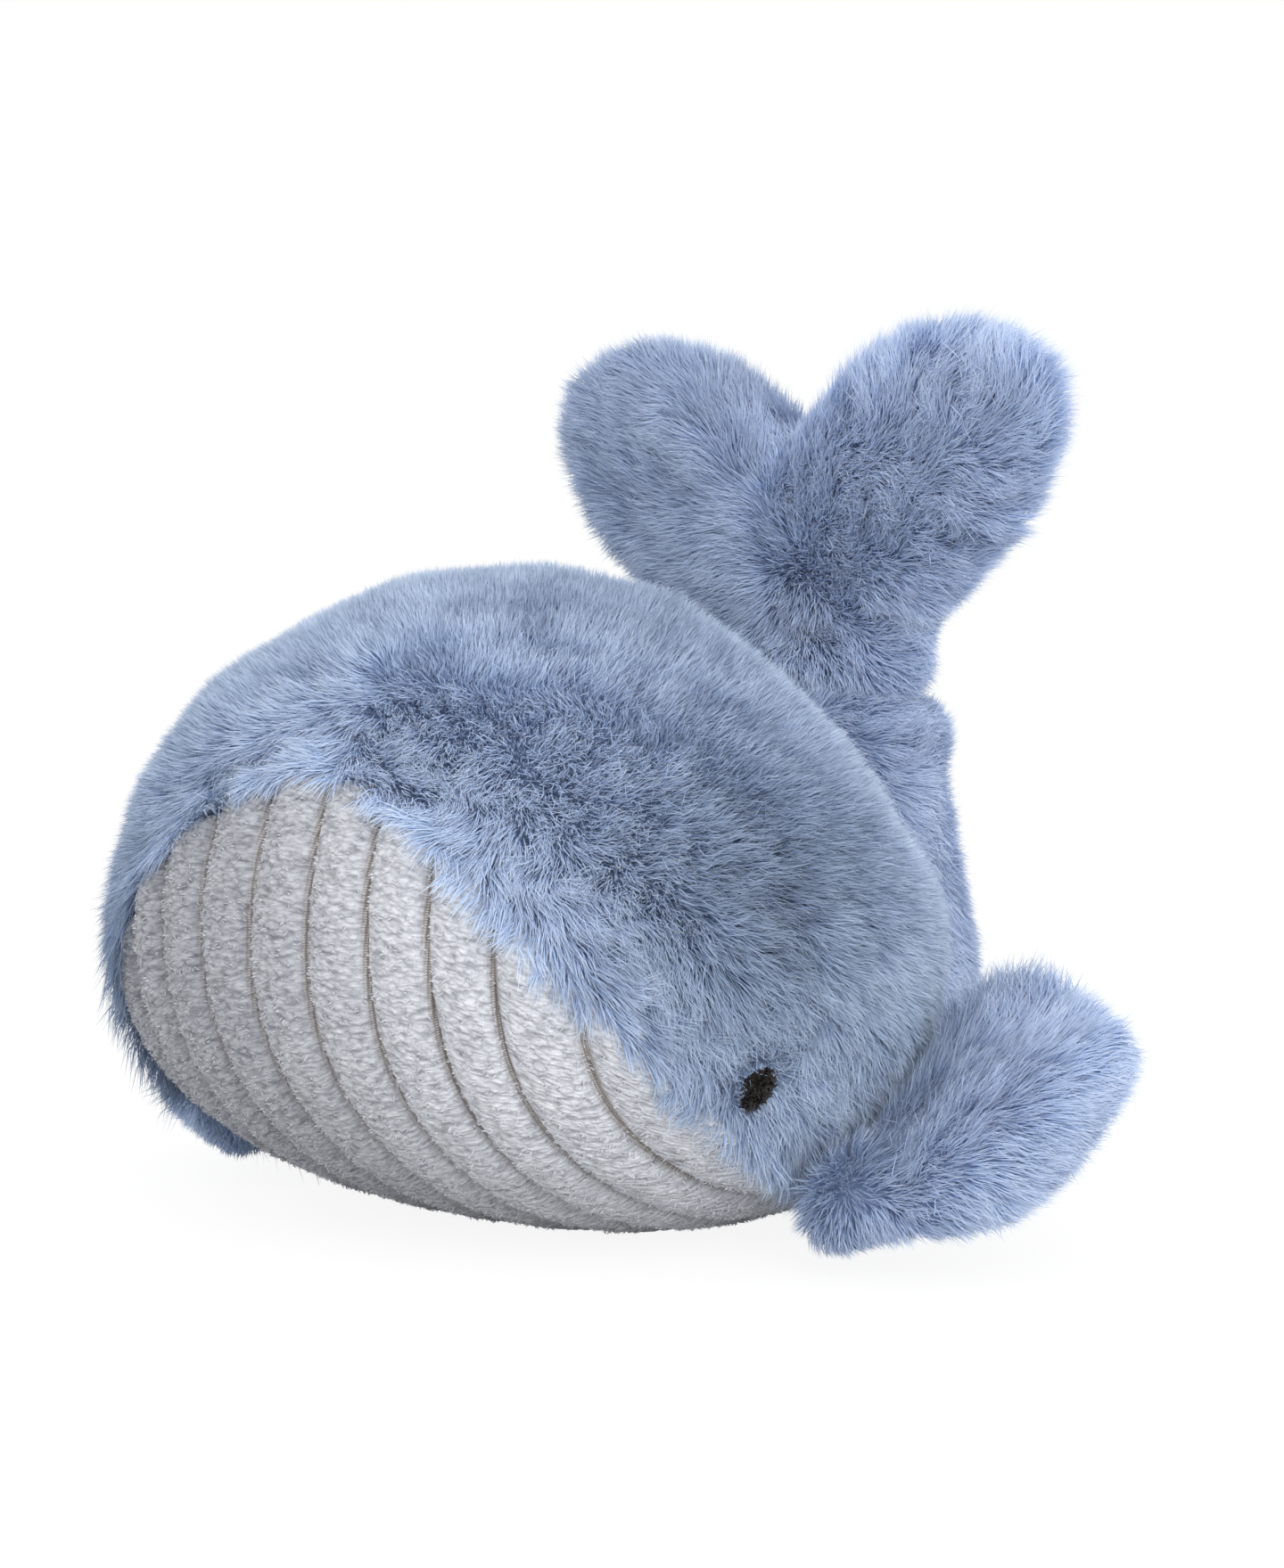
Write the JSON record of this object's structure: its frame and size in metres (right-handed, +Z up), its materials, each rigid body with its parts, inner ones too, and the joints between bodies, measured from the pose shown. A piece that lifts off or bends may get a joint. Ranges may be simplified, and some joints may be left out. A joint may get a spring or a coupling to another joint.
{
  "type": "plush whale",
  "caption": "Stuffed plush whale resting on its belly, with a pale ribbed cord throat, embroidered eyes, soft flippers at the sides and an upright tail with rounded flukes.",
  "frame": {"origin": "bottom centre of the overall box, on the surface that the whale lies on", "axes": "+Z up, nose towards -Y, the whale's own left towards +X"},
  "size_m": [0.2732, 0.2314, 0.2108],
  "materials": {
    "blue_grey_fur": "long soft pile, matt",
    "pale_jumbo_cord": "ribbed short curly pile, matt",
    "dark_satin_thread": "satin stitch, soft sheen",
    "white_polyester_fibre": "loose fibre, matt",
    "pouch_cloth": "plain woven cloth, matt"
  },
  "bodies": {
    "body": {"back_panel_left": "blue_grey_fur", "back_panel_right": "blue_grey_fur", "belly_panel": "pale_jumbo_cord", "body_filling": "white_polyester_fibre", "pellet_pouch": "pouch_cloth", "eye_left": "dark_satin_thread", "eye_right": "dark_satin_thread"},
    "tail": {"tail_panel_left": "blue_grey_fur", "tail_panel_right": "blue_grey_fur", "tail_filling": "white_polyester_fibre"},
    "flukes": {"fluke_panel_front": "blue_grey_fur", "fluke_panel_back": "blue_grey_fur", "fluke_filling": "white_polyester_fibre"},
    "flipper_left": {"flipper_left_upper": "blue_grey_fur", "flipper_left_lower": "blue_grey_fur", "flipper_left_filling": "white_polyester_fibre"},
    "flipper_right": {"flipper_right_upper": "blue_grey_fur", "flipper_right_lower": "blue_grey_fur", "flipper_right_filling": "white_polyester_fibre"}
  },
  "joints": [
    {"name": "tail_bend", "type": "hinge", "parent": "body", "child": "tail", "pos_m": [0, 0.078, 0.0385], "axis": [1, 0, 0], "range_deg": [-25, 10], "stiffness_Nm_per_rad": 0.8},
    {"name": "fluke_bend", "type": "hinge", "parent": "tail", "child": "flukes", "pos_m": [0, 0.0795, 0.131], "axis": [1, 0, 0], "range_deg": [-25, 25], "stiffness_Nm_per_rad": 0.3},
    {"name": "flipper_left_fold", "type": "hinge", "parent": "body", "child": "flipper_left", "pos_m": [0.09461, -0.01157, 0.03236], "axis": [-0.1905, -0.7536, -0.6291], "range_deg": [-10, 33], "stiffness_Nm_per_rad": 0.3},
    {"name": "flipper_right_fold", "type": "hinge", "parent": "body", "child": "flipper_right", "pos_m": [-0.09461, -0.01157, 0.03236], "axis": [-0.1905, 0.7536, 0.6291], "range_deg": [-10, 33], "stiffness_Nm_per_rad": 0.3}
  ]
}
